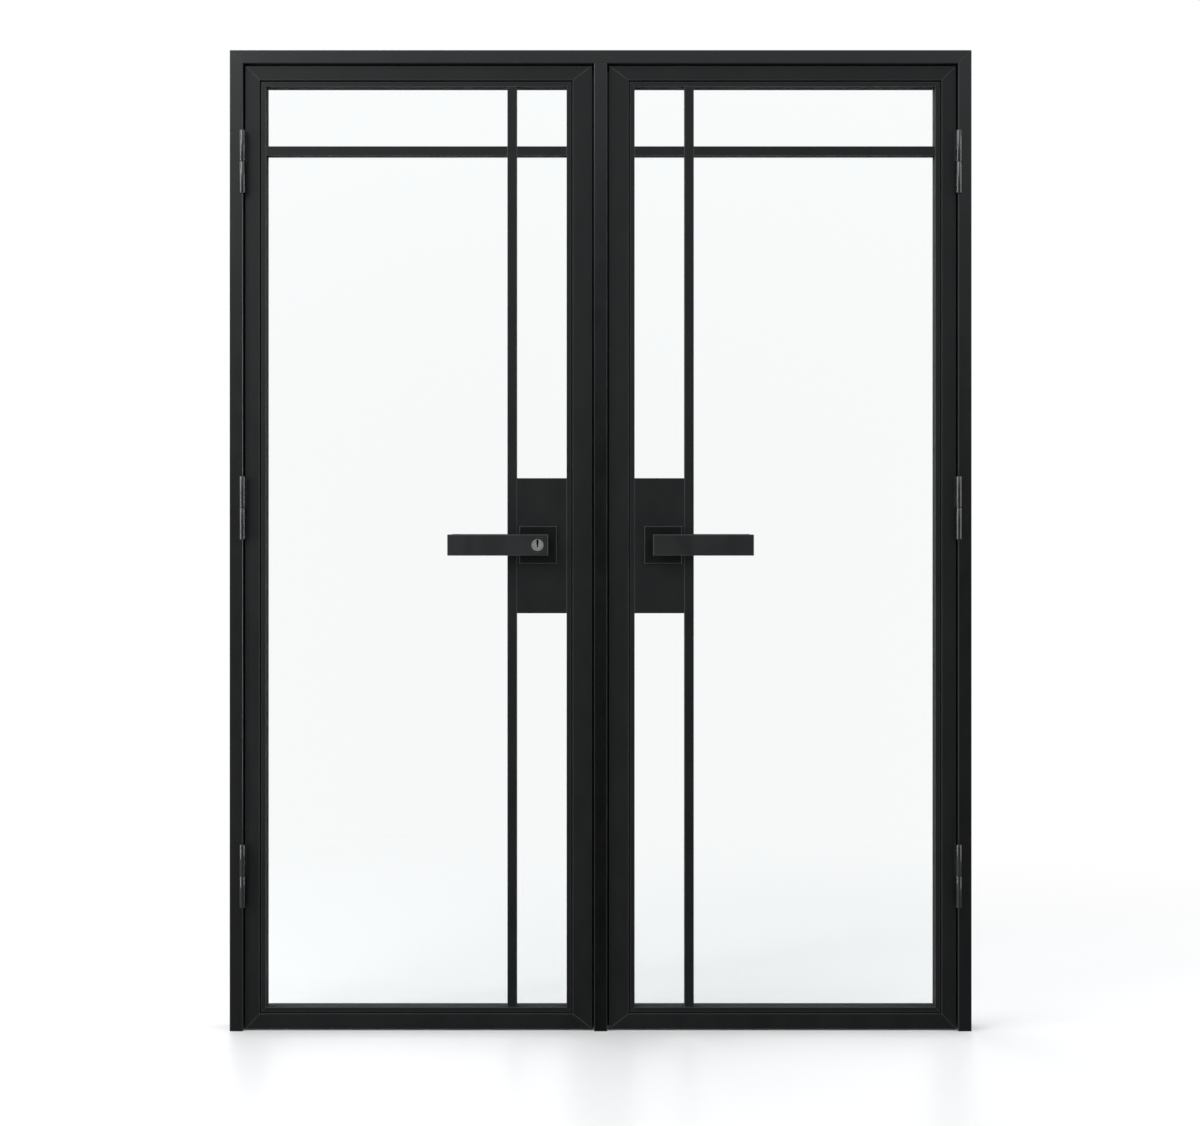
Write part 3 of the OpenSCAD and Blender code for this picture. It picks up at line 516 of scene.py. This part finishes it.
def screw_recipe():
    """A screw with a flush head and a hex socket, which points along its "way" with its own roll."""
    r = Recipe("countersunk_screws", **{
        "Head radius": 3.8 * MM, "Head depth": 2.0 * MM, "Shank radius": 2.0 * MM,
        "Length": 14.0 * MM, "Key radius": 1.6 * MM, "Key depth": 1.2 * MM, "Roll seed": 7})
    cone = r.add("GeometryNodeMeshCone", {"Vertices": 32, "Radius Top": "Shank radius",
                                          "Radius Bottom": "Head radius", "Depth": "Head depth"})
    deep = r.sum("MULTIPLY", "Key depth", 2.0)
    key = r.add("GeometryNodeMeshCylinder", {"Vertices": 6, "Radius": "Key radius", "Depth": deep})
    head = r.add("GeometryNodeMeshBoolean", {"Mesh 1": cone, "Mesh 2": key}, operation="DIFFERENCE")
    rest = r.sum("SUBTRACT", "Length", "Head depth")
    shank = r.add("GeometryNodeMeshCylinder", {"Vertices": 24, "Radius": "Shank radius", "Depth": rest})
    middle = r.sum("ADD", "Head depth", r.sum("MULTIPLY", rest, 0.5))
    low = r.add("GeometryNodeTransform", {"Geometry": shank, "Translation": r.upward(middle)})
    whole = r.add("GeometryNodeJoinGeometry")
    for part in (head, low):
        r.tree.links.new(part.outputs[0], whole.inputs[0])
    way = r.add("GeometryNodeInputNamedAttribute", data_type="FLOAT_VECTOR")
    way.inputs["Name"].default_value = "way"
    along = r.add("FunctionNodeAlignRotationToVector", {"Vector": way}, axis="Z")
    roll = r.add("FunctionNodeRandomValue", {"Seed": "Roll seed"}, data_type="FLOAT")
    roll.inputs[2].default_value, roll.inputs[3].default_value = 0.0, 6.28
    about_z = r.add("ShaderNodeCombineXYZ")
    r.tree.links.new(roll.outputs[1], about_z.inputs["Z"])
    turned = r.add("FunctionNodeRotateRotation", {0: along, 1: about_z}, rotation_space="LOCAL")
    r.finish(whole, ZINC, turned)
    return r


def screw_seat(solid):
    """Where a packed screw's head lies flush, and the way it is driven along X."""
    end_slice, head_from = 0.1 * MM, 6.0 * MM       # an end this wide or wider is a head
    (x0, x1), (y0, y1), (z0, z1) = (span(solid, axis) for axis in range(3))
    low_end = span([p for p in solid if p.x - x0 < end_slice], 2)
    head_is_low = low_end[1] - low_end[0] > head_from
    place = (x0 if head_is_low else x1, (y0 + y1) / 2, (z0 + z1) / 2)
    return place, (1, 0, 0) if head_is_low else (-1, 0, 0)


def countersunk_screws():
    """The screws of the frame and of both leaves, one piece for each body."""
    recipe = screw_recipe()
    for body in ("frame", "left_leaf", "right_leaf"):
        name = body + "_screws"
        seats = [screw_seat(solid) for solid in solids(name)]
        piece = recipe.run(name + "_fine", [seat[0] for seat in seats], [seat[1] for seat in seats])
        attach(piece, body)
        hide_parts(name)


def sleeve_recipe():
    """A short round tube with eased ends, standing on its own middle."""
    r = Recipe("hinge_sleeves", **{
        "Radius": 6.0 * MM, "Wall": 1.0 * MM, "Length": 66.0 * MM, "Easing": 0.45 * MM})
    section = r.add("GeometryNodeCurvePrimitiveQuadrilateral", {"Width": "Wall", "Height": "Length"})
    eased = r.add("GeometryNodeFilletCurve", {"Curve": section, "Radius": "Easing", "Count": 4}, mode="POLY")
    path_r = r.sum("SUBTRACT", "Radius", r.sum("MULTIPLY", "Wall", 0.5))
    path = r.add("GeometryNodeCurvePrimitiveCircle", {"Resolution": 64, "Radius": path_r})
    tube = r.add("GeometryNodeCurveToMesh", {"Curve": path, "Profile Curve": eased})
    r.finish(tube, HINGE_PAINT)
    return r


def hinge_sleeves():
    """Smooth round sleeves just proud of the hinge knuckles, on the frame's halves and the leaves'."""
    recipe = sleeve_recipe()
    for side in SIDES:
        low, high = span(solids(side + "_hinge_leaf_halves")[0], 2)
        length = high - low
        for half, body in (("frame", "frame"), ("leaf", side + "_leaf")):
            places = []
            for solid in solids(f"{side}_hinge_{half}_halves"):
                (x0, x1), (y0, _), (z0, _) = (span(solid, axis) for axis in range(3))
                places.append(((x0 + x1) / 2, y0 + (x1 - x0) / 2, z0 + length / 2))
            piece = recipe.run(f"{side}_hinge_{half}_sleeves", places,
                               Radius=(x1 - x0) / 2 + SLEEVE_PROUD, Length=length)
            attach(piece, body)


countersunk_screws()
hinge_sleeves()


# ---------- studio ----------

# Reflected surroundings: low and high place in the direction looked at, and the strength at each
SHINE_UP = (0.0, 0.34, 0.0, 1.05)
SHINE_SIDE = (0.03, 0.30, 0.0, 0.42)
SHINE_LEFT_TO_RIGHT = (-0.3, 0.3, 1.28, 0.72)


def studio_floor():
    """Pale floor with a faint gloss, which fades into the white surroundings."""
    far, fade_from, fade_to = 14.0, 0.6, 3.2
    mesh = bpy.data.meshes.new("studio_floor")
    mesh.from_pydata([(-far, -far, 0), (far, -far, 0), (far, far, 0), (-far, far, 0)], [], [(0, 1, 2, 3)])
    floor = bpy.data.objects.new("studio_floor", mesh)
    bpy.context.scene.collection.objects.link(floor)
    floor.visible_glossy = False
    f = Finish("white_studio_floor")
    f.set(Base_Color=(0.825, 0.825, 0.83, 1), Roughness=0.34, Specular_IOR_Level=0.14)
    reach = f.add("ShaderNodeVectorMath", operation="LENGTH")
    f.join(f.where, "Object", reach, 0)
    fade = f.add("ShaderNodeMapRange", interpolation_type="SMOOTHSTEP")
    fade.inputs["From Min"].default_value = fade_from
    fade.inputs["From Max"].default_value = fade_to
    f.join(reach, "Value", fade, "Value")
    white = f.add("ShaderNodeEmission")
    white.inputs["Color"].default_value = (1, 1, 1, 1)
    both = f.add("ShaderNodeMixShader")
    f.join(fade, "Result", both, "Fac")
    f.join(f.shader, "BSDF", both, 1)
    f.join(white, "Emission", both, 2)
    f.join(both, "Shader", f.out, "Surface")
    mesh.materials.append(f.material)


def studio_surroundings():
    """White all round, but darker straight ahead and low down where it shows in reflections."""
    world = bpy.data.worlds.new("studio")
    bpy.context.scene.world = world
    world.use_nodes = True
    tree = world.node_tree
    tree.nodes.clear()
    add, join = tree.nodes.new, tree.links.new
    out = add("ShaderNodeOutputWorld")
    where = add("ShaderNodeTexCoord")
    split = add("ShaderNodeSeparateXYZ")
    join(where.outputs["Generated"], split.inputs["Vector"])

    def graded(value, low, high, dark, light):
        node = add("ShaderNodeMapRange")
        node.interpolation_type = "SMOOTHSTEP"
        for key, number in zip(("From Min", "From Max", "To Min", "To Max"), (low, high, dark, light)):
            node.inputs[key].default_value = number
        join(value, node.inputs["Value"])
        return node.outputs["Result"]

    def maths(how, a, b=0.0):
        node = add("ShaderNodeMath")
        node.operation = how
        for socket, value in zip(node.inputs, (a, b)):
            if isinstance(value, float):
                socket.default_value = value
            else:
                join(value, socket)
        return node.outputs[0]

    # what shows in reflections: brighter high up, to the sides and on the left, dark straight ahead
    across = maths("ABSOLUTE", split.outputs["X"])
    shine = maths("ADD", graded(split.outputs["Z"], *SHINE_UP), graded(across, *SHINE_SIDE))
    shine = maths("MULTIPLY", shine, graded(split.outputs["X"], *SHINE_LEFT_TO_RIGHT))
    rays = add("ShaderNodeLightPath")
    reflected = add("ShaderNodeBackground")
    reflected.inputs["Color"].default_value = (0.93, 0.97, 1.0, 1)
    join(shine, reflected.inputs["Strength"])
    plain = add("ShaderNodeBackground")
    plain.inputs["Color"].default_value = (1, 1, 1, 1)
    plain.inputs["Strength"].default_value = 1.0
    both = add("ShaderNodeMixShader")
    mirrored = add("ShaderNodeMath")
    mirrored.operation = "SUBTRACT"
    mirrored.use_clamp = True
    join(rays.outputs["Is Glossy Ray"], mirrored.inputs[0])
    join(rays.outputs["Is Transmission Ray"], mirrored.inputs[1])
    join(mirrored.outputs["Value"], both.inputs["Fac"])
    join(plain.outputs["Background"], both.inputs[1])
    join(reflected.outputs["Background"], both.inputs[2])
    join(both.outputs["Shader"], out.inputs["Surface"])


def studio_lights():
    """A soft light from the upper left, an upright strip at each side, and a fill from behind."""
    lights = {
        # name: (place, aim, width, height, power, tint)
        "key_upper_left": ((-2.6, -3.2, 3.4), (-0.4, 0, 1.2), 1.8, 1.8, 42, (1, 0.99, 0.98)),
        "strip_left": ((-3.0, -1.6, 1.25), (0, -0.04, 1.15), 0.40, 2.4, 40, (0.96, 0.98, 1)),
        "strip_right": ((2.9, -0.55, 1.25), (0, -0.04, 1.15), 0.5, 2.4, 26, (0.96, 0.98, 1)),
        "back_fill": ((-1.5, 3.8, 3.0), (0, 0, 1.1), 2.4, 1.6, 40, (1, 1, 1)),
    }
    for name, (place, aim, wide, high, power, tint) in lights.items():
        data = bpy.data.lights.new(name, "AREA")
        data.shape, data.size, data.size_y = "RECTANGLE", wide, high
        data.energy, data.color = power, tint
        lamp = bpy.data.objects.new(name, data)
        bpy.context.scene.collection.objects.link(lamp)
        lamp.location = place
        lamp.rotation_euler = (Vector(aim) - Vector(place)).to_track_quat("-Z", "Y").to_euler()
        lamp.visible_camera = False
        lamp.visible_transmission = False


def front_camera():
    """Level camera in front of the doors, at chest height."""
    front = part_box("centre_mullion")[0].y
    away, eye, aside = 5.2, 1.10, -0.0013
    across = 2.568          # metres of the frame's front plane that the picture's width takes in
    shift = -0.0381         # how far the view is moved down, as a share of the picture's width
    data = bpy.data.cameras.new("front_camera")
    data.sensor_fit, data.sensor_width = "HORIZONTAL", 36.0
    data.lens = data.sensor_width * away / across
    data.shift_y = shift
    camera = bpy.data.objects.new("front_camera", data)
    bpy.context.scene.collection.objects.link(camera)
    camera.location = (aside, front - away, eye)
    camera.rotation_euler = (math.radians(90), 0, 0)
    bpy.context.scene.camera = camera


studio_floor()
studio_surroundings()
studio_lights()
front_camera()
bpy.context.scene.view_settings.view_transform = "Standard"
